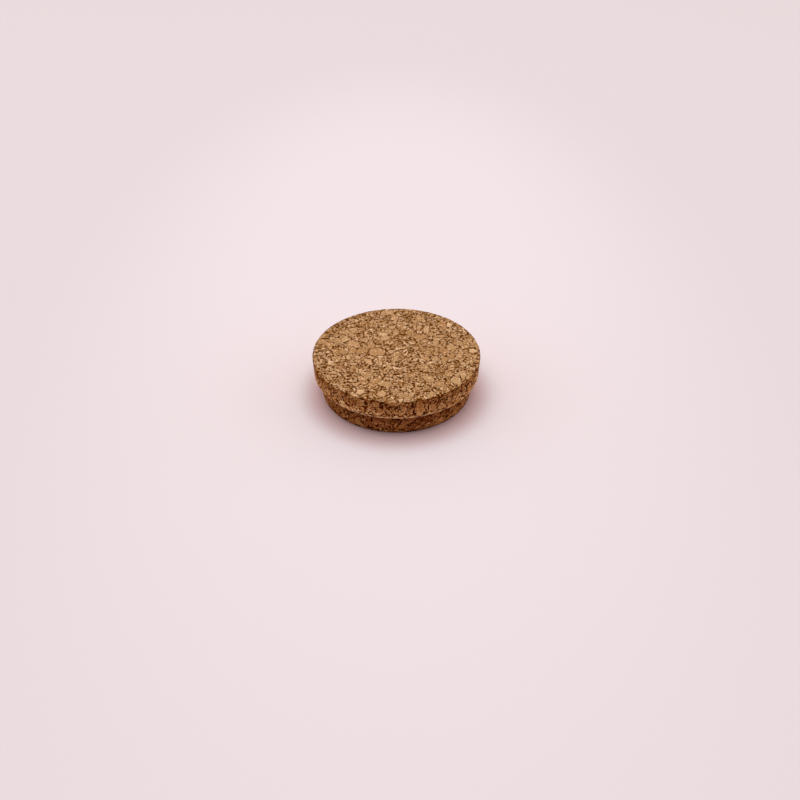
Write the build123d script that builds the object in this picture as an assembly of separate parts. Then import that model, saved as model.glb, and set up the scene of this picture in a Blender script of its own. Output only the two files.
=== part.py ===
# Stopper of bonded cork granules for a wide jar mouth, turned in one piece.
# A tapered plug goes into the mouth, and a wider, slightly flared flange stays on its rim.
# Millimetres, +Z up, origin at the centre of the plug's lower face, which is the rest face.

import os
from math import radians, tan

from build123d import *

# Plug, below the shoulder
plug_end_diameter = 54.2  # at the lower face, without the lead-in
plug_depth = 8.2  # from the lower face up to the shoulder
plug_taper = 5.0  # degrees from the axis, wider upwards
plug_lead_in = 0.2  # bevel on the edge that enters the mouth first, as wide as it is high

# Shoulder, the flat ring that sits on the mouth's rim
shoulder_width = 1.9

# Flange, above the shoulder
flange_thickness = 7.1
flange_flare = 2.5  # degrees from the axis, wider upwards
flange_edge_round = 0.3  # on the lower edge
flange_rim_round = 0.4  # on the upper edge, under the fingers

# Sizes of the section that follow from the ones above
plug_lower_reach = plug_end_diameter / 2
plug_upper_reach = plug_lower_reach + plug_depth * tan(radians(plug_taper))
lead_in_reach = plug_lower_reach + plug_lead_in * tan(radians(plug_taper))
flange_lower_reach = plug_upper_reach + shoulder_width
flange_upper_reach = flange_lower_reach + flange_thickness * tan(radians(flange_flare))
height = plug_depth + flange_thickness


def stopper_section():
    """Half of the stopper's section, from the axis outwards."""
    with BuildSketch(Plane.XZ) as section:
        with BuildLine():
            outline = FilletPolyline(
                (0, 0),
                (plug_lower_reach - plug_lead_in, 0),
                (lead_in_reach, plug_lead_in),
                (plug_upper_reach, plug_depth),
                (flange_lower_reach, plug_depth),
                (flange_upper_reach, height),
                (0, height),
                radius=[0, 0, 0, flange_edge_round, flange_rim_round],
            )
            Line(outline @ 1, outline @ 0)
        make_face()
    return section.sketch


def cork_stopper():
    """The section turned once round the axis."""
    return revolve(stopper_section(), axis=Axis.Z)


os.makedirs("parts", exist_ok=True)
stopper = cork_stopper()
export_step(stopper, "parts/cork_stopper.step")
print(f"cork_stopper {2 * flange_upper_reach:.2f} across, {height:.2f} high, {stopper.volume:.0f} mm3")
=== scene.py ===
# %% [markdown]
# # A turned stopper of bonded cork
# The real stopper is one piece. Bark is ground to granules, the granules are glued under pressure into a
# block, and the block is turned: a tapered plug below, a flange above. So there is one shape to make here
# and one finish, and nearly all the work is in the finish. Its granules, the dark gaps between them and the
# open pits run through the whole block, so the pattern is made in space, not on the surface, and it goes
# round every edge.

import bpy
import numpy as np
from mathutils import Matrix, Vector
from mathutils.geometry import delaunay_2d_cdt


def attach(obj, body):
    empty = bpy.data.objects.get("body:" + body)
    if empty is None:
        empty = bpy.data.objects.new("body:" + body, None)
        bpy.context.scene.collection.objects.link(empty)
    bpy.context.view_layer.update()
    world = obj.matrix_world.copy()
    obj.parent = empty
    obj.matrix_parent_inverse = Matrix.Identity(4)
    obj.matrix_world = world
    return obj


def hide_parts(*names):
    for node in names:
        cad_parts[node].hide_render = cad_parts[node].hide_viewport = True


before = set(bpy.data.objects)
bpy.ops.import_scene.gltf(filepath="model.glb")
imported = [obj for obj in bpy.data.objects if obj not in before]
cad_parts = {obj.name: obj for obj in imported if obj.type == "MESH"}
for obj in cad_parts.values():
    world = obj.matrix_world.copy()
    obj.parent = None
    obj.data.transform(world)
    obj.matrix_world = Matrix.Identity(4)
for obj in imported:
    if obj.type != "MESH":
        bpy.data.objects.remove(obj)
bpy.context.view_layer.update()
MM = 0.001  # the stopper's sizes are in millimetres, as a maker gives them, and meshes are in metres

# %% [markdown]
# ## The turned section
# The outline of the half section is already in the frame: every corner of the CAD mesh lies on a ring round
# the axis. Reading the rings back, instead of typing the sizes again, keeps the skin on the solid if a size
# changes. The outline never goes down again on its way from the plug's lower face to the top, so sorting by
# height orders it.

# %% Read the section
AXIS_REACH = 1.0  # corners closer to the axis than this are no part of the outline
SAME_POINT = 0.005  # points closer together than this are one

corner_places = np.array([v.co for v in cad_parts["cork_stopper"].data.vertices]) / MM
corner_reach = np.hypot(corner_places[:, 0], corner_places[:, 1])
rings = np.unique(np.round(np.column_stack((corner_places[:, 2], corner_reach)), 3), axis=0)
outline = rings[rings[:, 1] > AXIS_REACH][:, ::-1]  # reach and height, from the lower face to the top
apart = np.hypot(*np.diff(outline, axis=0).T) > SAME_POINT
outline = outline[np.concatenate(([True], apart))]
run = np.concatenate(([0.0], np.cumsum(np.hypot(*np.diff(outline, axis=0).T))))
total_height = outline[-1, 1]
widest_reach = outline[:, 0].max()
print(f"section of {len(outline)} points, {run[-1]:.2f} mm long")
print(f"it reaches {widest_reach:.2f} mm out and {total_height:.2f} mm up")

# %% [markdown]
# ## Writing node trees
# The granule pattern is needed twice: in Geometry Nodes, which press the pits into the mesh, and in the
# material, which colours the granules and darkens the pits. Both kinds of tree know the same maths and
# texture nodes, so one small writer serves both, and relief and colour can't drift apart.

# %% A writer for both kinds of tree
MIX_SOCKETS = {"FLOAT": (2, 3, 0), "VECTOR": (4, 5, 1), "RGBA": (6, 7, 2)}  # inputs and output


class Wiring:
    """Adds nodes to one tree. A value may be a number or another node's output."""

    def __init__(self, tree):
        self.tree = tree

    def put(self, socket, value):
        if isinstance(value, bpy.types.NodeSocket):
            self.tree.links.new(value, socket)
        else:
            socket.default_value = value

    def node(self, kind, values=(), **settings):
        """A node with these settings, and with values for its inputs by name."""
        node = self.tree.nodes.new(kind)
        for name, setting in settings.items():
            setattr(node, name, setting)
        for name, value in dict(values).items():
            self.put(node.inputs[name], value)
        return node

    def fill(self, kind, values, **settings):
        """The outputs of a node whose first inputs get these values in order."""
        node = self.node(kind, **settings)
        for socket, value in zip(node.inputs, values):
            self.put(socket, value)
        return node.outputs

    def math(self, operation, *values):
        return self.fill("ShaderNodeMath", values, operation=operation)["Value"]

    def product(self, first, *others):
        for other in others:
            first = self.math("MULTIPLY", first, other)
        return first

    def vector(self, operation, *values):
        return self.fill("ShaderNodeVectorMath", values, operation=operation)["Vector"]

    def measure(self, operation, *values):
        """A number that is measured on vectors, such as a LENGTH or a DISTANCE."""
        return self.fill("ShaderNodeVectorMath", values, operation=operation)["Value"]

    def scaled(self, vector, factor):
        node = self.node("ShaderNodeVectorMath", {"Scale": factor}, operation="SCALE")
        self.put(node.inputs[0], vector)
        return node.outputs["Vector"]

    def step(self, value, start, end, low=0.0, high=1.0):
        """Goes smoothly from low at start to high at end."""
        values = (value, start, end, low, high)
        return self.fill("ShaderNodeMapRange", values, interpolation_type="SMOOTHSTEP")["Result"]

    def mix(self, kind, factor, first, second, blend="MIX"):
        node = self.node("ShaderNodeMix", data_type=kind, blend_type=blend)
        a, b, out = MIX_SOCKETS[kind]
        self.put(node.inputs[0], factor)
        self.put(node.inputs[a], first)
        self.put(node.inputs[b], second)
        return node.outputs[out]

    def tinted(self, colour, factor, tint):
        """The colour, multiplied by the tint as far as the factor says."""
        return self.mix("RGBA", factor, colour, tint, "MULTIPLY")

    def noise(self, place, size, detail=0.0):
        """Soft noise with lumps of about this size."""
        values = {"Vector": place, "Scale": 1 / size, "Detail": detail}
        return self.node("ShaderNodeTexNoise", values).outputs

    def cells(self, place, size, feature):
        values = {"Vector": place, "Scale": 1 / size}
        return self.node("ShaderNodeTexVoronoi", values, feature=feature).outputs

    def split(self, vector):
        return self.node("ShaderNodeSeparateXYZ", {"Vector": vector}).outputs


print("mix nodes of three kinds:", ", ".join(MIX_SOCKETS))

# %% [markdown]
# ## Granules in space
# Ground cork is graded, but not even: large grains keep their shape, and smaller ones fill between them.
# Cells of three sizes give that. Some large cells stay whole, the others are broken into middle cells, and
# some of those into small ones. Plain cells have ruler-straight sides, so their coordinates are bent by
# noise first.

# %% Three grades of granule
GRAIN_SIZES = (3.0, 1.8, 1.05)  # large, middle and small granules
GRAIN_SHIFTS = ((3.1, 7.7, 1.9), (41.3, 12.9, 27.1), (19.7, 63.1, 8.3))  # so that the sizes are unrelated
WHOLE_SHARES = (0.22, 0.58)  # of the large and the middle cells that stay whole
NO_RIM = GRAIN_SIZES[0]  # distance to the rim of a grade that isn't there
BEND = ((1.9, 1.7), (0.45, 0.42))  # size of the noise's lumps, and how far they bend the sides


def each_way(number):
    return (number, number, number)


def bent_place(wiring, place):
    bent = place
    for size, reach in BEND:
        lumps = wiring.noise(place, size, detail=2.0)["Color"]
        bent = wiring.vector("MULTIPLY_ADD", lumps, each_way(reach), bent)
    return bent


def graded_cells(wiring, bent):
    """Adds a granule's random draw, its fineness from 0 to 2, and the distance to its rim."""
    draws, rims = [], []
    for size, shift in zip(GRAIN_SIZES, GRAIN_SHIFTS):
        moved = wiring.vector("ADD", bent, shift)
        draws.append(wiring.cells(moved, size, "F1")["Color"])
        rim = wiring.cells(moved, size, "DISTANCE_TO_EDGE")["Distance"]
        rims.append(wiring.math("MULTIPLY", rim, size))
    broken = wiring.math("GREATER_THAN", wiring.split(draws[0])["X"], WHOLE_SHARES[0])
    crushed = wiring.math("GREATER_THAN", wiring.split(draws[1])["X"], WHOLE_SHARES[1])
    crushed = wiring.math("MULTIPLY", crushed, broken)
    draw = wiring.mix("VECTOR", broken, draws[0], draws[1])
    draw = wiring.mix("VECTOR", crushed, draw, draws[2])
    middle_rim = wiring.mix("FLOAT", broken, NO_RIM, rims[1])
    small_rim = wiring.mix("FLOAT", crushed, NO_RIM, rims[2])
    rim = wiring.math("MINIMUM", rims[0], wiring.math("MINIMUM", middle_rim, small_rim))
    return draw, wiring.math("ADD", broken, crushed), rim


print("granules of", ", ".join(str(size) for size in GRAIN_SIZES), "mm")

# %% [markdown]
# ## Grains and voids that stand out
# A few grains are so large, pale or dark that the eye finds them first, and four torn voids stand out on
# the front. Random cells would never put them there, so they are listed one by one, as egg shapes in the
# same bent coordinates. That gives them the same uneven rims as their neighbours.

# %% Placed grains and voids
PLACED_GRAINS = (  # centre, half sizes, turn about Z in degrees, tone up to pale, warmth up to red
    ((-5.0, 11.1, 15.3), (2.0, 1.4, 1.5), 0.0, 1.05, 0.3),
    ((-7.0, -0.1, 15.3), (3.3, 2.5, 2.0), 0.0, 0.32, 0.4),
    ((-12.4, 19.4, 15.3), (2.0, 1.6, 1.5), 0.0, -0.10, 0.5),
    ((19.8, 17.7, 15.3), (1.2, 1.7, 1.2), 0.0, 1.20, 0.6),
    ((27.4, 0.2, 15.3), (1.7, 1.6, 1.5), 0.0, 1.08, 0.1),
    ((-24.6, 9.9, 15.3), (1.8, 0.35, 0.6), 54.0, 1.30, 0.1),
    ((-12.2, -24.0, 15.3), (1.5, 1.8, 1.5), 0.0, 1.10, 0.5),
    ((-5.0, -24.9, 15.3), (1.8, 2.1, 1.5), 0.0, 0.85, 0.3),
    ((11.1, -0.7, 15.3), (1.5, 1.4, 1.2), 0.0, 0.70, 0.5),
    ((28.9, 6.7, 14.8), (1.2, 1.6, 1.2), 13.0, 1.00, 1.2),
    ((7.7, -28.9, 11.9), (2.0, 1.9, 3.6), -75.0, 0.55, 2.2),
    ((-23.5, -18.4, 11.2), (1.5, 1.3, 1.6), -142.0, 0.75, 1.5),
)
PLACED_DRAW = 0.5  # the first number of a placed grain's draw
PLACED_VOIDS = (  # centre, half sizes, turn about Z in degrees
    ((5.3, -29.5, 13.6), (1.0, 0.42, 1.5), -80.0),
    ((6.4, -29.1, 9.9), (1.0, 0.50, 0.50), -78.0),
    ((10.7, -27.9, 11.3), (1.0, 0.40, 1.4), -69.0),
    ((10.1, -28.0, 9.3), (1.0, 0.50, 0.45), -70.0),
)
RING_REACH = (0.4, 0.1)  # the glue round a placed grain thickens between these distances from its rim


def inside_egg(wiring, place, centre, half_sizes, turn):
    """Adds how far a place lies inside an egg shape, in millimetres, and less than zero outside."""
    away = wiring.vector("SUBTRACT", place, centre)
    values = {"Vector": away, "Angle": -np.radians(turn)}
    turned = wiring.node("ShaderNodeVectorRotate", values, rotation_type="Z_AXIS").outputs[0]
    share = wiring.measure("LENGTH", wiring.vector("DIVIDE", turned, half_sizes))
    return wiring.math("MULTIPLY", wiring.math("SUBTRACT", 1.0, share), min(half_sizes))


def placed_grains(wiring, home, draw, fineness, rim):
    """Puts the placed grains over the graded ones, and adds the rings of glue round them."""
    ring = 0.0
    for centre, half_sizes, turn, tone, warmth in PLACED_GRAINS:
        depth = inside_egg(wiring, home, centre, half_sizes, turn)
        within = wiring.math("GREATER_THAN", depth, 0.0)
        draw = wiring.mix("VECTOR", within, draw, (PLACED_DRAW, tone, warmth))
        fineness = wiring.mix("FLOAT", within, fineness, 0.0)
        to_edge = wiring.math("ABSOLUTE", depth)
        rim = wiring.math("MINIMUM", wiring.mix("FLOAT", within, rim, NO_RIM), to_edge)
        ring = wiring.math("MAXIMUM", ring, wiring.step(to_edge, *RING_REACH))
    return draw, fineness, rim, ring


print(len(PLACED_GRAINS), "grains and", len(PLACED_VOIDS), "voids placed by hand")

# %% [markdown]
# ## Gaps between the granules
# A gap opens where the glue left the grains apart. Soft noise says how slack the glue is, and that sets the
# gap's width along the cells' rims. Fine noise frays its sides. In the pattern, `open` is how far a point
# lies inside a gap.

# %% Gaps, and the whole pattern
WIDE_GAP = 0.28  # half width of the widest gap
SLACK_LUMPS = 0.9  # size of the patches with slack glue
SLACK_RANGE = (0.47, 0.70)  # gaps open between these values of the noise
FRAY = 0.14  # how far a gap's sides are frayed
FRAY_LUMPS = 0.24
MEAN_BEND = sum(reach for _, reach in BEND) / 2  # the noise is about a half on average
WALL_TEAR = 1.05  # the turning tool tears the wall's voids wider
TEAR_DEPTH = 0.3  # from a face to the wall that is torn in full


def gap_width(wiring, place, slack):
    """Adds the half width of the gap that passes here."""
    width = wiring.step(slack, *SLACK_RANGE, 0.0, WIDE_GAP)
    up = wiring.split(place)["Z"]
    below_top = wiring.step(up, total_height, total_height - TEAR_DEPTH)
    turned_wall = wiring.math("MULTIPLY", below_top, wiring.step(up, 0.0, TEAR_DEPTH))
    width = wiring.math("MULTIPLY", width, wiring.mix("FLOAT", turned_wall, 1.0, WALL_TEAR))
    ragged = wiring.noise(place, FRAY_LUMPS, detail=2.0)["Fac"]
    return wiring.math("ADD", width, wiring.math("MULTIPLY_ADD", ragged, FRAY, -0.5 * FRAY))


def granules(wiring, place):
    """Adds the pattern at a place in millimetres, and returns its outputs by name."""
    bent = bent_place(wiring, place)
    home = wiring.vector("SUBTRACT", bent, each_way(MEAN_BEND))
    draw, fineness, rim, ring = placed_grains(wiring, home, *graded_cells(wiring, bent))
    slack = wiring.noise(place, SLACK_LUMPS, detail=1.0)["Fac"]
    opened = wiring.math("SUBTRACT", gap_width(wiring, place, slack), rim)
    for centre, half_sizes, turn in PLACED_VOIDS:
        opened = wiring.math("MAXIMUM", opened, inside_egg(wiring, home, centre, half_sizes, turn))
    return {"draw": draw, "fineness": fineness, "rim": rim, "ring": ring, "slack": slack, "open": opened}


print("gaps up to", 2 * WIDE_GAP, "mm wide on the faces, before they are frayed")

# %% [markdown]
# ## The outer edges
# Handling and the turning tool break small chips out of the flange's two outer edges: its rim and its lower
# edge. How far a point lies from the nearer of these two rings is worked out from its place, again in both
# trees.

# %% Distance to an outer edge
LOWER_EDGE_HEIGHT = 0.5  # the lower edge's round ends within this height above the shoulder

shoulder_height = outline[np.argmax(np.diff(outline[:, 0])), 1]
lower_edge_reach = outline[outline[:, 1] < shoulder_height + LOWER_EDGE_HEIGHT][:, 0].max()
OUTER_EDGES = ((widest_reach, total_height), (lower_edge_reach, shoulder_height))


def edge_distance(wiring, place):
    """Adds the distance in millimetres from a place to the nearer outer edge."""
    reach = wiring.measure("LENGTH", wiring.vector("MULTIPLY", place, (1.0, 1.0, 0.0)))
    section = wiring.node("ShaderNodeCombineXYZ", {"X": reach, "Z": wiring.split(place)["Z"]}).outputs[0]
    away = [wiring.measure("DISTANCE", section, (edge, 0.0, height)) for edge, height in OUTER_EDGES]
    return wiring.math("MINIMUM", *away)


print("outer edges at reach and height", [tuple(np.round(edge, 2).tolist()) for edge in OUTER_EDGES])

# %% [markdown]
# ## Relief in Geometry Nodes
# The turning tool tears loose grains out, so the voids show as pits, and whole granules stand a little high
# or low. Displacement in the material would be lost in other programs, so a Geometry Nodes tree moves the
# points themselves. It also keeps each point's turned place, where the material reads the pattern, and the
# depth of its pit, which tells where the skin needs points.

# %% The relief tree
RELIEF_SIZES = {"Pit depth": 0.44, "Pit run-in": 0.32, "Granule step": 0.05, "Chip depth": 0.14}
CHIP_REACH = 0.9  # chips lie within this distance of an outer edge
CHIP_LUMPS = 1.3
CHIP_RANGE = (0.54, 0.70)  # a chip deepens between these values of the noise


def relief_sockets(tree):
    face = tree.interface
    face.new_socket("Geometry", in_out="INPUT", socket_type="NodeSocketGeometry")
    for name, size in RELIEF_SIZES.items():
        face.new_socket(name, in_out="INPUT", socket_type="NodeSocketFloat").default_value = size
    face.new_socket("Cork", in_out="INPUT", socket_type="NodeSocketMaterial")
    face.new_socket("Geometry", in_out="OUTPUT", socket_type="NodeSocketGeometry")


def pit_or_chip(wiring, place, opened, given):
    """Adds the depth of the pit or the chip at a place, whichever is deeper."""
    pit = wiring.step(opened, 0.0, given["Pit run-in"], 0.0, given["Pit depth"])
    by_edge = wiring.step(edge_distance(wiring, place), CHIP_REACH, 0.0, 0.0, given["Chip depth"])
    bite = wiring.step(wiring.noise(place, CHIP_LUMPS, detail=2.0)["Fac"], *CHIP_RANGE)
    return wiring.math("MAXIMUM", pit, wiring.math("MULTIPLY", by_edge, bite))


def stored(wiring, geometry, name, value, kind):
    """Keeps a value on every point, under a name."""
    values = {"Geometry": geometry, "Name": name, "Value": value}
    return wiring.node("GeometryNodeStoreNamedAttribute", values, data_type=kind, domain="POINT").outputs[0]


def relief_tree():
    tree = bpy.data.node_groups.new("cork_relief", "GeometryNodeTree")
    relief_sockets(tree)
    wiring = Wiring(tree)
    given = wiring.node("NodeGroupInput").outputs
    place = wiring.node("GeometryNodeInputPosition").outputs["Position"]
    in_mm = wiring.vector("MULTIPLY", place, each_way(1 / MM))
    pattern = granules(wiring, in_mm)
    pit = pit_or_chip(wiring, in_mm, pattern["open"], given)
    sunk = wiring.math("MULTIPLY", wiring.split(pattern["draw"])["Z"], given["Granule step"])
    inward = wiring.math("MULTIPLY", wiring.math("ADD", pit, sunk), -MM)
    outward = wiring.node("GeometryNodeInputNamedAttribute", {"Name": "outward"}, data_type="FLOAT_VECTOR")
    offset = wiring.scaled(outward.outputs[0], inward)
    shape = stored(wiring, given["Geometry"], "turned_place", place, "FLOAT_VECTOR")
    shape = stored(wiring, shape, "pit_depth", pit, "FLOAT")
    shape = wiring.node("GeometryNodeSetPosition", {"Geometry": shape, "Offset": offset}).outputs[0]
    shape = wiring.node("GeometryNodeRealizeInstances", {"Geometry": shape}).outputs[0]
    dressed = wiring.node("GeometryNodeSetMaterial", {"Geometry": shape, "Material": given["Cork"]})
    wiring.node("NodeGroupOutput", {"Geometry": dressed.outputs[0]})
    return tree


relief = relief_tree()
print("relief tree with", len(relief.nodes), "nodes")

# %% [markdown]
# A modifier runs the tree. Its material is set by the socket's identifier before the first evaluation, and
# the evaluated result becomes a plain mesh, so that nothing live is left on the piece.

# %% Send a mesh through the tree
def through_relief(mesh, tree, material=None):
    """The mesh after the relief tree, as a plain mesh."""
    holder = bpy.data.objects.new("relief_holder", mesh)
    bpy.context.scene.collection.objects.link(holder)
    pressed = holder.modifiers.new("relief", "NODES")
    pressed.node_group = tree
    for socket in tree.interface.items_tree:
        if socket.in_out == "INPUT" and socket.name == "Cork":
            pressed[socket.identifier] = material
    graph = bpy.context.evaluated_depsgraph_get()
    result = holder.evaluated_get(graph)
    shaped = bpy.data.meshes.new_from_object(result, preserve_all_data_layers=True, depsgraph=graph)
    bpy.data.objects.remove(holder)
    return shaped


def depth_at(places):
    """The relief tree's pit depth at these places, in millimetres."""
    tries = bpy.data.meshes.new("tries")
    tries.from_pydata(places * MM, [], [])
    tried = through_relief(tries, relief)
    depth = np.empty(len(places), np.float32)
    tried.attributes["pit_depth"].data.foreach_get("value", depth)
    for mesh in (tries, tried):
        bpy.data.meshes.remove(mesh)
    return depth


middle_depth = depth_at(np.array([(0.0, 0.0, total_height)]))[0]
print(f"the pit depth at the middle of the top face is {middle_depth:.3f} mm")

# %% [markdown]
# ## A skin with points where the relief needs them
# A lathe mesh has even rows, which are too coarse for a pit and wasted on a plain granule. Here the skin is
# three flat sheets: the top disc, the lower disc, and the wall rolled out along its section. On each sheet
# a fine lattice is tried, the relief tree says how deep each try lies, and only a coarse share is kept
# where nothing changes. Delaunay triangulation joins what is left, and the sheets share the points of their
# rims, so the skin is closed.

# %% Lattice and levels
FINE = 0.15  # lattice spacing at a pit's edge
LEVELS = (4, 2, 1)  # every fourth point is always kept, every second near a pit, each at its edge
NEAR = ((3, 0.28), (1, 0.115))  # lattice steps to look around, and the steepest share that gets that level
LEAST_CHANGE = 0.01  # a smaller change of depth needs no finer level
CLEAR_SHARE = 0.45  # of a level's spacing, which its points keep from the fixed rows


def lattice(width, height):
    """Rows and columns of a hexagonal lattice over a sheet, with their places on it."""
    row_step = FINE * np.sqrt(0.75)
    rows, columns = np.mgrid[0 : int(height / row_step) + 1, 0 : int(width / FINE) + 1]
    return rows, columns, (columns + 0.5 * (rows % 2)) * FINE, rows * row_step


def on_level(rows, columns, every):
    """True where a lattice point also belongs to the lattice that is this many times coarser."""
    shift = (rows // every % 2) * (every // 2)
    return (rows % every == 0) & ((columns - shift) % every == 0)


def change_around(depth, steps):
    """How much the depth changes within this many lattice steps of each point."""
    high, low = depth, depth
    for axis in (0, 1):
        high = np.max([np.roll(high, by, axis) for by in range(-steps, steps + 1)], axis=0)
        low = np.min([np.roll(low, by, axis) for by in range(-steps, steps + 1)], axis=0)
    return high - low


def chosen_points(width, height, place_of, room):
    """Points of a sheet, dense where the relief changes.

    room(u, v) is the distance to the nearest fixed row.
    """
    rows, columns, u, v = lattice(width, height)
    depth = depth_at(place_of(u.ravel(), v.ravel())[0]).reshape(u.shape)
    wanted = [np.ones(u.shape, bool)]
    for steps, share in NEAR:
        change = change_around(depth, steps)
        wanted.append(change > max(np.quantile(change, 1 - share), LEAST_CHANGE))
    keep = np.zeros(u.shape, bool)
    for every, zone in zip(LEVELS, wanted):
        keep |= zone & on_level(rows, columns, every) & (room(u, v) > CLEAR_SHARE * every * FINE)
    return np.column_stack((u[keep], v[keep]))


print("lattice spacings", [every * FINE for every in LEVELS], "mm")

# %% [markdown]
# The section's corners and rounds have to stay crisp. So some rows of the wall are fixed: one where a bend
# of the section starts or ends, and one each time that it has turned by a set angle. On the wall these rows
# are rings.

# %% Rings of the section
ROW_TURN = 24  # degrees
BEND_TURN = 2  # degrees from one stretch of the section to the next, above which it bends
RIM_STEP = 0.29  # spacing of the points on a ring
SLOPE_STEP = 0.05  # half the stretch over which the section's slope is taken
NO_LENGTH = 1e-9


def ring_places():
    """How far along the section the rings lie."""
    heading = np.degrees(np.unwrap(np.arctan2(*np.diff(outline, axis=0).T[::-1])))
    bends = np.abs(np.diff(heading))
    places = [0.0]
    since = 0.0
    for i, bend in enumerate(bends):
        since += bend
        starts = bend > BEND_TURN and (i == 0 or bends[i - 1] <= BEND_TURN)
        ends = bend > BEND_TURN and (i == len(bends) - 1 or bends[i + 1] <= BEND_TURN)
        if starts or ends or since > ROW_TURN:
            places.append(run[i + 1])
            since = 0.0
    return np.array(places + [run[-1]])


def section_at(along):
    """Reach, height and outward direction of the section, at runs along it."""
    reach, height = (np.interp(along, run, outline[:, i]) for i in (0, 1))
    ahead, behind = (np.clip(along + by, 0, run[-1]) for by in (SLOPE_STEP, -SLOPE_STEP))
    rise = np.interp(ahead, run, outline[:, 1]) - np.interp(behind, run, outline[:, 1])
    grow = np.interp(ahead, run, outline[:, 0]) - np.interp(behind, run, outline[:, 0])
    size = np.maximum(np.hypot(rise, grow), NO_LENGTH)
    return reach, height, rise / size, -grow / size


ring_runs = ring_places()
around = int(2 * np.pi * widest_reach / RIM_STEP)
print(len(ring_runs), "rings of", around, "points")

# %% [markdown]
# A sheet is flat, with u across and v up, and a function of its own says where u and v lie on the stopper
# and which way is outwards there. The wall's u is the way round at its widest ring, and its v is the run
# along the section.

# %% The wall's sheet
SEAM_SHARE = 0.4  # of the spacing, which the points of the seam keep from the rings

wall_width = 2 * np.pi * widest_reach


def wall_place(u, v):
    reach, height, out, up = section_at(v)
    turn = u / widest_reach
    place = np.column_stack((reach * np.cos(turn), reach * np.sin(turn), height))
    return place, np.column_stack((out * np.cos(turn), out * np.sin(turn), up))


def wall_room(u, v):
    rows = np.abs(v[..., None] - ring_runs).min(-1)
    return np.minimum(rows, np.minimum(u, wall_width - u))


ring_u = np.arange(around + 1) * wall_width / around
seam_v = np.arange(RIM_STEP, run[-1], RIM_STEP)
seam_v = seam_v[np.abs(seam_v[:, None] - ring_runs).min(1) > SEAM_SHARE * RIM_STEP]
fixed_rows = [np.column_stack((ring_u, np.full(around + 1, v))) for v in ring_runs]
fixed_rows += [np.column_stack((np.full(len(seam_v), u), seam_v)) for u in (0.0, wall_width)]
wall_points = np.concatenate(fixed_rows + [chosen_points(wall_width, run[-1], wall_place, wall_room)])
print("wall sheet of", len(wall_points), "points")

# %% [markdown]
# The two faces are discs. Just inside its rim, each gets a second ring of points, which keeps the face flat
# up to the edge.

# %% The discs' sheets
INNER_RING = 0.12

ring_angles = np.arange(around) * 2 * np.pi / around
unit_ring = np.column_stack((np.cos(ring_angles), np.sin(ring_angles)))


def disc_place(radius, height, facing):
    def place(u, v):
        flat = np.column_stack((u - radius, v - radius, np.full(len(u), height)))
        return flat, np.tile((0.0, 0.0, facing), (len(u), 1))

    return place


def disc_points(radius, place_of):
    """A disc's two rings, and the points inside them."""
    def room(u, v):
        return radius - INNER_RING - np.hypot(u - radius, v - radius)

    two_rings = [unit_ring * reach + radius for reach in (radius, radius - INNER_RING)]
    return np.concatenate(two_rings + [chosen_points(2 * radius, 2 * radius, place_of, room)])


top_reach, end_reach = (section_at(ring_runs[[ring]])[0][0] for ring in (-1, 0))
print(f"discs of {top_reach:.2f} and {end_reach:.2f} mm reach")

# %% [markdown]
# The wall's first and last rings are also the rims of the two discs, and its right edge is its left edge
# again. Each corner of a face keeps the place that it has on its sheet: laid side by side, the sheets are
# the skin's texture map. The wall is long, so its far half is laid above its near half.

# %% Lay out the sheets
MARGIN = 1.5  # round each sheet on the texture map
MERGE_REACH = 1e-7


def laid_out(points, place_of, flip, corner):
    """A sheet's places, outward directions, faces, and the map places of the faces' corners."""
    found = np.array(delaunay_2d_cdt([Vector(p) for p in points], [], [], 0, MERGE_REACH)[2])
    if flip:
        found = found[:, ::-1]
    return (*place_of(points[:, 0], points[:, 1]), found, points[found] + corner)


half_width = wall_width / 2
sheets = [laid_out(wall_points, wall_place, False, (MARGIN, MARGIN))]
wall_map = sheets[0][3]
far_half = wall_map[..., 0].mean(1) > half_width + MARGIN
wall_map[far_half] += (-half_width, run[-1] + 2 * MARGIN)
disc_row = 2 * (run[-1] + 2 * MARGIN) + MARGIN
map_across = MARGIN
for radius, height, facing in ((top_reach, total_height, 1.0), (end_reach, 0.0, -1.0)):
    place_of = disc_place(radius, height, facing)
    sheets.append(laid_out(disc_points(radius, place_of), place_of, facing < 0, (map_across, disc_row)))
    map_across += 2 * radius + 2 * MARGIN
map_side = max(map_across, disc_row + 2 * widest_reach + MARGIN)
print("sheets of", [len(faces) for _, _, faces, _ in sheets], "faces on a map of", round(map_side, 1), "mm")

# %% [markdown]
# Points that two sheets share are welded. A shared point takes the mean of the sheets' outward directions,
# so that the relief moves both sheets alike there and the skin stays closed.

# %% Weld the sheets into one skin
def welded(places, outwards, faces):
    """Joins points that lie in one place, with the mean of their outward directions."""
    _, first, number = np.unique(np.round(places, 4), axis=0, return_index=True, return_inverse=True)
    number = number.ravel()
    mean = np.zeros((len(first), 3))
    np.add.at(mean, number, outwards)
    return places[first], mean / np.linalg.norm(mean, axis=1)[:, None], number[faces]


places, outwards, faces, corners = zip(*sheets)
firsts = np.cumsum([0] + [len(place) for place in places[:-1]])
faces = np.concatenate([found + first for found, first in zip(faces, firsts)])
skin_places, skin_outward, skin_faces = welded(np.concatenate(places), np.concatenate(outwards), faces)
skin = bpy.data.meshes.new("cork_skin")
skin.from_pydata(skin_places * MM, [], skin_faces)
skin.attributes.new("outward", "FLOAT_VECTOR", "POINT").data.foreach_set("vector", skin_outward.ravel())
skin_map = skin.uv_layers.new(name="OFBake")
skin_map.uv.foreach_set("vector", (np.concatenate(corners) / map_side).ravel())
print("skin of", len(skin_places), "points and", len(skin_faces), "triangles")
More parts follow.
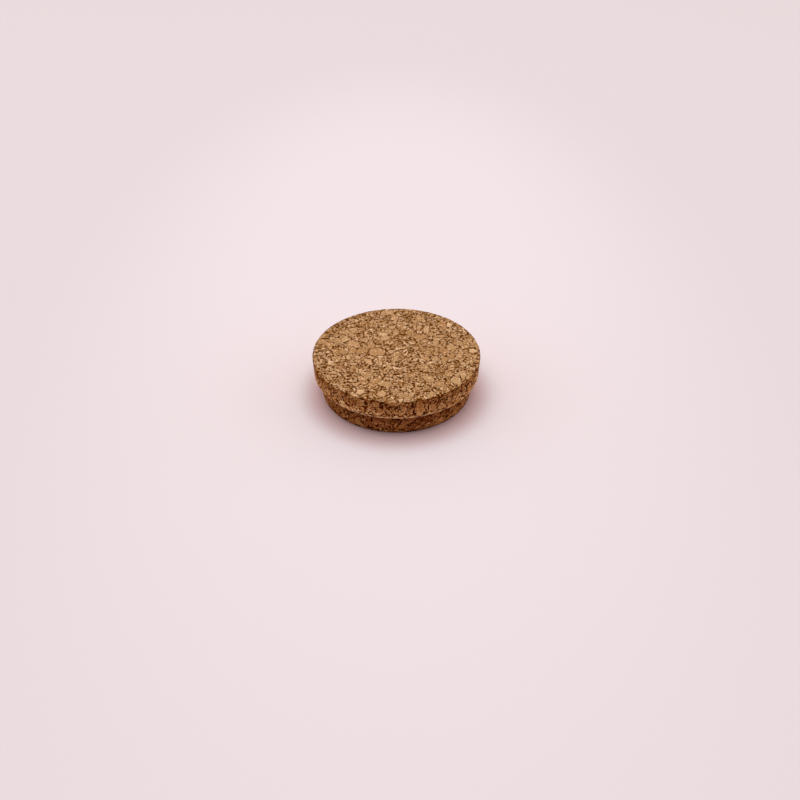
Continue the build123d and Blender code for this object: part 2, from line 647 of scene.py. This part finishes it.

# %% [markdown]
# ## Masks of the cork finish
# One material covers the piece. The granule pattern comes in as a shader group, so that its masks can be
# used by name. Gaps are dark, and painted shade makes them darker in their depth. Where the glue is slack
# they have a pale torn lip, which is partly a painted highlight along the torn edge. Thin glue lines run
# along the rims. All of these follow from how far a point lies from a rim or inside a gap.

# %% Gaps and glue lines
GAP_EDGE = (-0.05, 0.05)  # a gap darkens from just outside its side to just inside
# painted shade in a gap's depth
PIT_SHADE_EDGE = (0.06, 0.22)  # it turns to its darkest colour between these distances from its side
# a torn lip's pale band is partly a painted highlight along the torn edge
LIP_EDGE = (-0.26, -0.05)  # a lip grows towards its gap
LIP_SLACK = (0.5, 0.62)  # lips are torn up only where the glue is slack
LINE_BOND = (0.34, 0.64)  # glue lines widen between these values of the noise
LINE_WIDTHS = (-0.04, 0.168)  # half widths, of which one below zero hardly shows
RING_WIDTH = 0.08  # that is added round a placed grain
LINE_EDGE = (-0.05, 0.04)
# the pale band beside a glue line is partly a painted highlight too
BESIDE_OUTER = (-0.3, -0.1)  # the pale band beside a glue line grows towards it
BESIDE_INNER = (-0.02, -0.08)  # and ends just outside it
BESIDE_STRENGTH = 0.85
BESIDE_SLACK = (0.45, 0.6)


def gap_masks(wiring, pattern):
    """Adds the gaps, their depths, the glue lines, and the pale lips beside both."""
    gap = wiring.step(pattern["open"], *GAP_EDGE)
    lip = wiring.step(pattern["open"], *LIP_EDGE)
    solid = wiring.math("SUBTRACT", 1.0, gap)
    lip = wiring.product(lip, solid, wiring.step(pattern["slack"], *LIP_SLACK))
    width = wiring.step(pattern["slack"], *LINE_BOND, *LINE_WIDTHS)
    width = wiring.math("MULTIPLY_ADD", pattern["ring"], RING_WIDTH, width)
    in_line = wiring.math("SUBTRACT", width, pattern["rim"])
    beside = wiring.product(
        wiring.step(in_line, *BESIDE_OUTER),
        wiring.step(in_line, *BESIDE_INNER, 0.0, BESIDE_STRENGTH),
        wiring.step(pattern["slack"], *BESIDE_SLACK),
    )
    return {
        "Gap": gap,
        "PitShade": wiring.step(pattern["open"], *PIT_SHADE_EDGE),
        "Seam": wiring.step(in_line, *LINE_EDGE),
        # torn lips and pale bands, which are partly painted highlights
        "LipAndHighlight": wiring.math("MAXIMUM", lip, beside),
    }


print("glue lines up to", 2 * LINE_WIDTHS[1], "mm wide")

# %% [markdown]
# Inside a granule, fine streaks run along its own growth direction, which its random draw sets. Bark also
# holds woody specks and pores, which are dark, and pale flecks. Each kind is a scatter of small cells, of
# which a share holds a speck, and the noise that bends the cells keeps the specks from being round.

# %% Streaks and specks
DRAW_TURN = 6.3  # a draw from 0 to 1 is about a full turn of the growth direction, in radians
STREAK_STRETCH = (0.25, 1.0, 1.0)
STREAK_LUMPS = 0.26
SPECKS = (  # name, spacing, shift that sets them apart, share of the places that hold one
    ("Woody", 0.85, 11.0, 0.40),
    ("Pale", 0.85, 47.0, 0.54),
    ("Pore", 0.5, 83.0, 0.40),
    ("Fleck", 0.5, 29.0, 0.5),
)
SPECK_LUMPS = 0.5
SPECK_BEND = 0.7
SPECK_SHARE = 0.42  # of the spacing, which the largest speck reaches
SPECK_EDGE = (-0.04, 0.06)


def streaks(wiring, place, draw):
    turn = wiring.vector("MULTIPLY", draw, each_way(DRAW_TURN))
    values = {"Vector": place, "Rotation": turn}
    along = wiring.node("ShaderNodeVectorRotate", values, rotation_type="EULER_XYZ").outputs[0]
    long_fine = wiring.vector("MULTIPLY", along, STREAK_STRETCH)
    return wiring.noise(long_fine, STREAK_LUMPS, detail=3.0)["Fac"]


def speck_masks(wiring, place):
    lumps = wiring.noise(place, SPECK_LUMPS, detail=1.0)["Color"]
    bent = wiring.vector("MULTIPLY_ADD", lumps, each_way(SPECK_BEND), place)
    masks = {}
    for name, size, shift, share in SPECKS:
        speck = wiring.cells(wiring.vector("ADD", bent, each_way(shift)), size, "F1")
        lot = wiring.split(speck["Color"])["X"]
        reach = wiring.step(lot, 1 - share, 1.0, 0.0, SPECK_SHARE * size)
        away = wiring.math("MULTIPLY", speck["Distance"], size)
        masks[name] = wiring.step(wiring.math("SUBTRACT", reach, away), *SPECK_EDGE)
    return masks


print("specks:", ", ".join(name for name, *_ in SPECKS))

# %% [markdown]
# The group joins the masks. Small granules differ more in tone than large ones, and are a little lighter.
# The bump height repeats the relief's steps and grooves, and adds the streaks, which are too fine for the
# mesh.

# %% The granule group
FINENESS = (0.0, 2.0)
MIDDLE_TONE = 0.5
TONE_SPREADS = (0.7, 1.25)  # of large and of small granules, about the middle tone
LIFTS = (0.96, 1.05)
MOTTLE_LUMPS = 0.55
BUMP_STEP = -0.05
BUMP_STREAK = 0.06
GROOVE_EDGE = (-0.12, 0.1)
GROOVE_DEPTH = -0.12


def granule_outputs(wiring, place):
    """Adds all that the group puts out, by name."""
    pattern = granules(wiring, place)
    draw = wiring.split(pattern["draw"])
    streak = streaks(wiring, place, pattern["draw"])
    spread = wiring.step(pattern["fineness"], *FINENESS, *TONE_SPREADS)
    off_middle = wiring.math("SUBTRACT", draw["Y"], MIDDLE_TONE)
    tone = wiring.math("MULTIPLY_ADD", off_middle, spread, MIDDLE_TONE)
    groove = wiring.step(pattern["open"], *GROOVE_EDGE, 0.0, GROOVE_DEPTH)
    height = wiring.math("ADD", wiring.math("MULTIPLY", draw["Z"], BUMP_STEP), groove)
    height = wiring.math("ADD", height, wiring.math("MULTIPLY", streak, BUMP_STREAK))
    return {
        "Tone": tone,
        "Warmth": draw["Z"],
        "Streak": streak,
        "Mottle": wiring.noise(place, MOTTLE_LUMPS, detail=3.0)["Fac"],
        "Lift": wiring.step(pattern["fineness"], *FINENESS, *LIFTS),
        "Height": height,
        **gap_masks(wiring, pattern),
        **speck_masks(wiring, place),
    }


def granule_group():
    tree = bpy.data.node_groups.new("cork_granules", "ShaderNodeTree")
    tree.interface.new_socket("Place", in_out="INPUT", socket_type="NodeSocketVector")
    wiring = Wiring(tree)
    results = granule_outputs(wiring, wiring.node("NodeGroupInput").outputs["Place"])
    for name in results:
        tree.interface.new_socket(name, in_out="OUTPUT", socket_type="NodeSocketFloat")
    wiring.node("NodeGroupOutput", results)
    return tree


grain_group = granule_group()
print("granule group with", len(grain_group.nodes), "nodes")

# %% [markdown]
# ## Colours of the cork
# A granule's tone is drawn from the tans and browns of bark, and streaks and mottling shade it. Lips, glue
# lines and specks cover it in turn, then comes a slight tint between yellow and red, and the gaps come
# last, in a deep red brown, with painted shade in their depth.

# %% Colour of the granules
TONES = (  # tone from dark to pale, and its colour
    (0.0, (0.36, 0.152, 0.042)),
    (0.15, (0.462, 0.222, 0.082)),
    (0.5, (0.535, 0.277, 0.118)),
    (0.85, (0.625, 0.351, 0.168)),
    (1.0, (0.82, 0.505, 0.285)),
)
STREAK_SHADES = (0.25, 0.75, 0.86, 1.13)  # a range of the noise, and the shades at its ends
MOTTLE_SHADES = (0.3, 0.7, 0.86, 1.14)
PALE_COLOUR = (0.88, 0.575, 0.345, 1.0)
SEAM_COLOUR = (0.17, 0.050, 0.003, 1.0)
WOODY_COLOUR = (0.23, 0.078, 0.009, 1.0)
GAP_COLOUR = (0.17, 0.044, 0.002, 1.0)
# painted shade: the colour of a gap's depth
PAINTED_PIT_SHADE = (0.085, 0.020, 0.001, 1.0)
COVERS = (  # mask, strength and colour, from the first to the last
    ("Pale", 0.9, PALE_COLOUR),
    ("LipAndHighlight", 0.95, PALE_COLOUR),
    ("Seam", 1.0, SEAM_COLOUR),
    ("Woody", 0.85, WOODY_COLOUR),
    ("Fleck", 0.85, PALE_COLOUR),
    ("Pore", 0.85, WOODY_COLOUR),
)
YELLOW_TINT = (0.99, 1.01, 1.00, 1.0)
RED_TINT = (1.015, 0.985, 0.97, 1.0)


def tone_colour(wiring, tone):
    ramp = wiring.node("ShaderNodeValToRGB", {"Fac": tone})
    stops = ramp.color_ramp.elements
    while len(stops) < len(TONES):
        stops.new(0.5)
    for stop, (share, colour) in zip(stops, TONES):
        stop.position = share
        stop.color = (*colour, 1.0)
    return ramp.outputs["Color"]


def grain_shade(wiring, masks):
    """Adds the shade of streaks and mottling, as a grey."""
    streak = wiring.step(masks["Streak"], *STREAK_SHADES)
    shade = wiring.product(masks["Lift"], streak, wiring.step(masks["Mottle"], *MOTTLE_SHADES))
    return wiring.node("ShaderNodeCombineColor", {"Red": shade, "Green": shade, "Blue": shade}).outputs[0]


def granule_colour(wiring, masks, shade):
    """Adds the colour of the block, as it would be on any cut through it."""
    colour = wiring.tinted(tone_colour(wiring, masks["Tone"]), 1.0, shade)
    for name, strength, cover in COVERS:
        colour = wiring.mix("RGBA", wiring.math("MULTIPLY", masks[name], strength), colour, cover)
    colour = wiring.tinted(colour, 1.0, wiring.mix("RGBA", masks["Warmth"], YELLOW_TINT, RED_TINT))
    colour = wiring.mix("RGBA", masks["Gap"], colour, GAP_COLOUR)
    return wiring.mix("RGBA", masks["PitShade"], colour, PAINTED_PIT_SHADE)


print(len(TONES), "tones and", len(COVERS), "covers")

# %% [markdown]
# The turned wall is redder than the two faces. Its dark spots are darker too, and its pale ones a little
# brighter: painted shade and painted light of its relief, which the lamp lights from above. Painted shade
# darkens the wall towards the rim, and it also hides the light that the rim's round catches. Painted shade
# darkens the plug below the flange, most at its foot, as a contact shadow, and under the shoulder. Height
# tells these places apart.

# %% Colour of the turned wall
# the dark tint is partly painted shade and the light tint partly painted light, of the relief lit from above
WALL_DARK_TINT = (0.96, 0.57, 0.28, 1.0)
WALL_LIGHT_TINT = (1.15, 1.06, 0.87, 1.0)
WALL_LEVELS = (0.06, 0.5)  # brightness at which a spot takes the dark and the light tint
# painted shade towards the rim, which also hides the light that the rim's round catches
RIM_PAINTED_SHADE_TINT = (0.61, 0.50, 0.40, 1.0)
# painted shade under the flange: the plug's tint, a contact shadow at its foot, and shade under the shoulder
PLUG_PAINTED_SHADE_TINT = (0.76, 0.62, 0.51, 1.0)
PAINTED_CONTACT_SHADOW_TINT = (0.46, 0.34, 0.25, 1.0)
PAINTED_SHOULDER_SHADE_TINT = (0.40, 0.26, 0.185, 1.0)
RIM_DEPTHS = (0.004, 0.06)  # below the top face, between which the wall's colour sets in
END_HEIGHT = 0.03  # above the lower face, where the wall's colour is full
RIM_SHADE_HEIGHTS = (shoulder_height + 1.0, total_height - 0.2)
PLUG_HEIGHTS = (shoulder_height + 0.2, shoulder_height)
CONTACT_SHADOW_HEIGHTS = (0.9, 0.1)
SHOULDER_SHADE_HEIGHTS = (1.5, shoulder_height - 1.0)


def wall_colour(wiring, colour, up):
    """Adds the wall's tints to the colour of the block."""
    below_rim = wiring.step(up, total_height - RIM_DEPTHS[0], total_height - RIM_DEPTHS[1])
    above_end = wiring.step(up, 0.0, END_HEIGHT)
    wall = wiring.math("MULTIPLY", below_rim, above_end)
    level = wiring.node("ShaderNodeRGBToBW", {"Color": colour}).outputs[0]
    tint = wiring.mix("RGBA", wiring.step(level, *WALL_LEVELS), WALL_DARK_TINT, WALL_LIGHT_TINT)
    colour = wiring.tinted(colour, wall, tint)
    # painted shade: the wall darkens towards the rim
    painted_rim_shade = wiring.math("MULTIPLY", wall, wiring.step(up, *RIM_SHADE_HEIGHTS))
    colour = wiring.tinted(colour, painted_rim_shade, RIM_PAINTED_SHADE_TINT)
    # painted shade on the plug: darker under the flange, most at the foot and under the shoulder
    tint = wiring.mix("RGBA", wiring.step(up, *CONTACT_SHADOW_HEIGHTS), PLUG_PAINTED_SHADE_TINT, PAINTED_CONTACT_SHADOW_TINT)
    tint = wiring.mix("RGBA", wiring.step(up, *SHOULDER_SHADE_HEIGHTS), tint, PAINTED_SHOULDER_SHADE_TINT)
    plug = wiring.math("MULTIPLY", wiring.step(up, *PLUG_HEIGHTS), above_end)
    return wiring.tinted(colour, plug, tint)


print(f"plug's tint up to {PLUG_HEIGHTS[0]:.1f} mm, rim's shade from {RIM_SHADE_HEIGHTS[0]:.1f} mm")

# %% [markdown]
# The flange's lower edge is rubbed pale, most of all in front. The rubbed band follows the distance to the
# outer edges, cut off by height so that the rim stays out of it. Gaps and glue lines break it up, so it
# doesn't look like a painted line.

# %% Worn lower edge
WORN_COLOUR = (0.92, 0.555, 0.30, 1.0)
WORN_REACH = (0.65, 0.3)  # distances from the edge at which the wear starts and is full
WORN_BELOW = (total_height - 1.0, total_height - 2.0)
WORN_ABOVE = (shoulder_height - 1.0, shoulder_height - 0.5)
WORN_IN_GAPS = 0.45  # share of the wear that is left in a gap or a glue line
WORN_SIDES = 0.45  # share of the wear away from the front
WORN_FRONT = (0.68, 0.88)  # shares of the reach towards the front, between which the wear grows


def worn_edge(wiring, colour, place, masks, shade):
    where = wiring.split(place)
    at_edge = wiring.step(edge_distance(wiring, place), *WORN_REACH)
    low = wiring.math("MULTIPLY", wiring.step(where["Z"], *WORN_BELOW), wiring.step(where["Z"], *WORN_ABOVE))
    whole = wiring.math("SUBTRACT", 1.0, wiring.math("MAXIMUM", masks["Gap"], masks["Seam"]))
    kept = wiring.step(whole, 0.0, 1.0, WORN_IN_GAPS, 1.0)
    forward = wiring.math("MULTIPLY", where["Y"], -1 / widest_reach)
    rubbed = wiring.step(forward, *WORN_FRONT, WORN_SIDES, 1.0)
    worn = wiring.product(at_edge, low, kept, rubbed)
    return wiring.mix("RGBA", worn, colour, wiring.tinted(WORN_COLOUR, 1.0, shade))


print(f"wear within {WORN_REACH[0]} mm of the edge at {shoulder_height:.1f} mm")

# %% [markdown]
# ## The cork material
# Cork is matt, and pale granules are a little smoother than dark ones. The turned place of each point,
# which the relief tree kept, is read as an attribute, so that colour and pits agree.

# %% The material
ROUGHNESS = (0.88, 0.72)  # of the darkest and the palest granules
SPECULAR = 0.01


def cork_material():
    material = bpy.data.materials.new("bonded_cork")
    material.use_nodes = True
    material.node_tree.nodes.clear()
    wiring = Wiring(material.node_tree)
    turned = wiring.node("ShaderNodeAttribute", attribute_name="turned_place", attribute_type="GEOMETRY")
    place = wiring.vector("MULTIPLY", turned.outputs["Vector"], each_way(1 / MM))
    group = wiring.node("ShaderNodeGroup", node_tree=grain_group)
    wiring.put(group.inputs["Place"], place)
    masks = group.outputs
    shade = grain_shade(wiring, masks)
    colour = granule_colour(wiring, masks, shade)
    colour = wall_colour(wiring, colour, wiring.split(place)["Z"])
    colour = worn_edge(wiring, colour, place, masks, shade)
    bump = wiring.node("ShaderNodeBump", {"Height": masks["Height"], "Distance": MM, "Strength": 1.0})
    shader = wiring.node("ShaderNodeBsdfPrincipled", {"Base Color": colour, "Normal": bump.outputs[0]})
    wiring.put(shader.inputs["Roughness"], wiring.step(masks["Tone"], 0.0, 1.0, *ROUGHNESS))
    shader.inputs["Specular IOR Level"].default_value = SPECULAR
    wiring.node("ShaderNodeOutputMaterial", {"Surface": shader.outputs[0]})
    return material


cork = cork_material()
print("material", cork.name, "with", len(cork.node_tree.nodes), "nodes")

# %% [markdown]
# ## The piece
# The skin goes through the relief tree once more, this time with its material. The result stands for the
# CAD solid, which stays hidden for collision, and it rides on the one body that the stopper has.

# %% The stopper
piece = bpy.data.objects.new("bonded_cork", through_relief(skin, relief, cork))
bpy.context.scene.collection.objects.link(piece)
piece.data.shade_smooth()
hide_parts("cork_stopper")
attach(piece, "root")
print("piece with", len(piece.data.polygons), "faces and materials", [m.name for m in piece.data.materials])

# %% [markdown]
# ## The floor
# The stopper stands on a pale, faintly pink sheet. A pool of light is painted on it: the sheet is a little
# darker away from the middle. Close to the cork, painted bounce light gives the sheet a warm tint, for the
# cork's colour thrown into its shadow. Far away it runs into the plain background, so that low views show
# only a soft horizon. Only rays that show the background see that, and the cork is still lit by the sheet.

# %% Floor and background
FLOOR_COLOUR = (0.903, 0.784, 0.813, 1.0)
# painted pool of light: the sheet is darker away from the middle
PAINTED_POOL_FADE = 0.91  # brightness away from the middle, as a share of the middle's
FLOOR_REACH = 6.0
BRIGHT_SQUEEZE = (1.0, 0.45, 0.0)  # the bright middle is longer from front to back
BRIGHT_SHIFT = (0.0, -0.045, 0.0)
BRIGHT_REACH = (0.05, 0.17)
# painted bounce light: the cork's warm colour thrown onto the sheet in its shadow
PAINTED_BOUNCE_TINT = (0.93, 0.755, 0.74, 1.0)
PAINTED_BOUNCE_MIDDLE = (0.0, -0.003, 0.0)
PAINTED_BOUNCE_REACH = (0.037, 0.027)  # where the tint starts, and where it is full
BACKGROUND = (0.84, 0.71, 0.72, 1.0)
HAZE_REACH = (0.5, 1.6)  # the sheet runs into the background between these distances


def seen_rays(wiring):
    """Adds 1 where a ray shows the background itself, and 0 where it only carries its light."""
    path = wiring.node("ShaderNodeLightPath").outputs
    mirrored = wiring.math("MAXIMUM", path["Is Glossy Ray"], path["Is Transmission Ray"])
    return wiring.math("MAXIMUM", path["Is Camera Ray"], mirrored)


def paper_and_painted_light(wiring, at):
    from_middle = wiring.measure("LENGTH", wiring.vector("MULTIPLY_ADD", at, BRIGHT_SQUEEZE, BRIGHT_SHIFT))
    # painted pool of light
    dim = [PAINTED_POOL_FADE * channel for channel in FLOOR_COLOUR[:3]] + [1.0]
    colour = wiring.mix("RGBA", wiring.step(from_middle, *BRIGHT_REACH), FLOOR_COLOUR, dim)
    # painted bounce light close to the cork
    warm = wiring.step(wiring.measure("DISTANCE", at, PAINTED_BOUNCE_MIDDLE), *PAINTED_BOUNCE_REACH)
    return wiring.tinted(colour, warm, PAINTED_BOUNCE_TINT)


def floor_paper():
    paper = bpy.data.materials.new("floor_paper")
    paper.use_nodes = True
    nodes = paper.node_tree.nodes
    wiring = Wiring(paper.node_tree)
    at = wiring.node("ShaderNodeTexCoord").outputs["Object"]
    shader = nodes["Principled BSDF"]
    wiring.put(shader.inputs["Base Color"], paper_and_painted_light(wiring, at))
    shader.inputs["Roughness"].default_value = 0.9
    shader.inputs["Specular IOR Level"].default_value = 0.1
    far = wiring.step(wiring.measure("LENGTH", at), *HAZE_REACH)
    haze = wiring.math("MULTIPLY", far, seen_rays(wiring))
    glow = wiring.node("ShaderNodeEmission", {"Color": BACKGROUND})
    blend = wiring.fill("ShaderNodeMixShader", (haze, shader.outputs[0], glow.outputs[0]))
    wiring.put(nodes["Material Output"].inputs["Surface"], blend[0])
    return paper


floor_mesh = bpy.data.meshes.new("floor_sheet")
floor_corners = [(x * FLOOR_REACH, y * FLOOR_REACH, 0) for x, y in ((-1, -1), (1, -1), (1, 1), (-1, 1))]
floor_mesh.from_pydata(floor_corners, [], [(0, 1, 2, 3)])
floor_mesh.materials.append(floor_paper())
sheet = bpy.data.objects.new("floor_sheet", floor_mesh)
bpy.context.scene.collection.objects.link(sheet)
print("floor sheet", 2 * FLOOR_REACH, "m wide")

# %% [markdown]
# ## Light
# One wide lamp hangs above, a little to the left and to the back. Its width sets the soft shadow, which
# fades out a little more than half the stopper's height from the flange. The room adds warm light, mostly
# from behind, and cool light comes from both sides. Where all of it reaches, it adds up to about white.

# %% Lamp and world
LAMP_HEIGHT = 3.0
LAMP_WIDTHS = (4.3, 2.8)  # it is a long lamp, which softens the shadow's sides
LAMP_SHIFT = (-0.20, 0.30)
LAMP_POWER = 68.3
LAMP_COLOUR = (0.825, 0.876, 0.895)
ROOM_LEVELS = (0.03, 0.84)  # light from the room, in front and behind
ROOM_COLOUR = (1.14, 0.96, 0.88)
SIDE_LIGHT = (0.40, 0.80, 0.95)
SIDE_RANGE = (0.6, 1.0)  # how far sideways a direction points where the side light starts and is full

lamp = bpy.data.lights.new("ceiling_lamp", "AREA")
lamp.shape = "ELLIPSE"
lamp.size, lamp.size_y = LAMP_WIDTHS
lamp.energy = LAMP_POWER
lamp.color = LAMP_COLOUR
lamp_place = bpy.data.objects.new("ceiling_lamp", lamp)
lamp_place.location = (*LAMP_SHIFT, LAMP_HEIGHT)
bpy.context.scene.collection.objects.link(lamp_place)

world = bpy.data.worlds.new("pale_room")
bpy.context.scene.world = world
world.use_nodes = True
world.node_tree.nodes.clear()
sky = Wiring(world.node_tree)
looking = sky.split(sky.node("ShaderNodeTexCoord").outputs["Generated"])
level = sky.fill("ShaderNodeMapRange", (looking["Y"], -1.0, 1.0, *ROOM_LEVELS))["Result"]
sideways = sky.step(sky.math("ABSOLUTE", looking["X"]), *SIDE_RANGE)
room_light = sky.vector("MULTIPLY_ADD", SIDE_LIGHT, sideways, sky.scaled(ROOM_COLOUR, level))
seen_room = sky.mix("RGBA", seen_rays(sky), room_light, BACKGROUND)
room_glow = sky.node("ShaderNodeBackground", {"Color": seen_room})
sky.node("ShaderNodeOutputWorld", {"Surface": room_glow.outputs[0]})
print("lamp of", LAMP_POWER, "W at", LAMP_HEIGHT, "m, and a room of", len(world.node_tree.nodes), "nodes")

# %% [markdown]
# ## Camera
# The camera looks down on the stopper as a phone held over a table does. Its distance, elevation and aim
# were fitted to the two rims and the plug's lower edge as they show in an 800 pixel picture, with a phone's
# usual lens.

# %% Camera
CAMERA_DISTANCE = 0.29231  # from the middle of the stopper
CAMERA_ELEVATION = np.radians(35.191)
CAMERA_AIM = Vector((0.001284, 0.0, -0.006541))
PICTURE_SIDE = 800
FOCAL_PIXELS = 803

camera = bpy.data.cameras.new("camera")
camera.sensor_width = 36.0
camera.lens = camera.sensor_width * FOCAL_PIXELS / PICTURE_SIDE
camera.clip_start = 0.01
camera_place = bpy.data.objects.new("camera", camera)
back = Vector((0.0, -np.cos(CAMERA_ELEVATION), np.sin(CAMERA_ELEVATION)))
camera_place.location = Vector((0.0, 0.0, total_height * MM / 2)) + back * CAMERA_DISTANCE
camera_place.rotation_euler = (CAMERA_AIM - camera_place.location).to_track_quat("-Z", "Y").to_euler()
bpy.context.scene.collection.objects.link(camera_place)
bpy.context.scene.camera = camera_place
bpy.context.scene.view_settings.view_transform = "Standard"
print(f"camera with a lens of {camera.lens:.1f} mm")
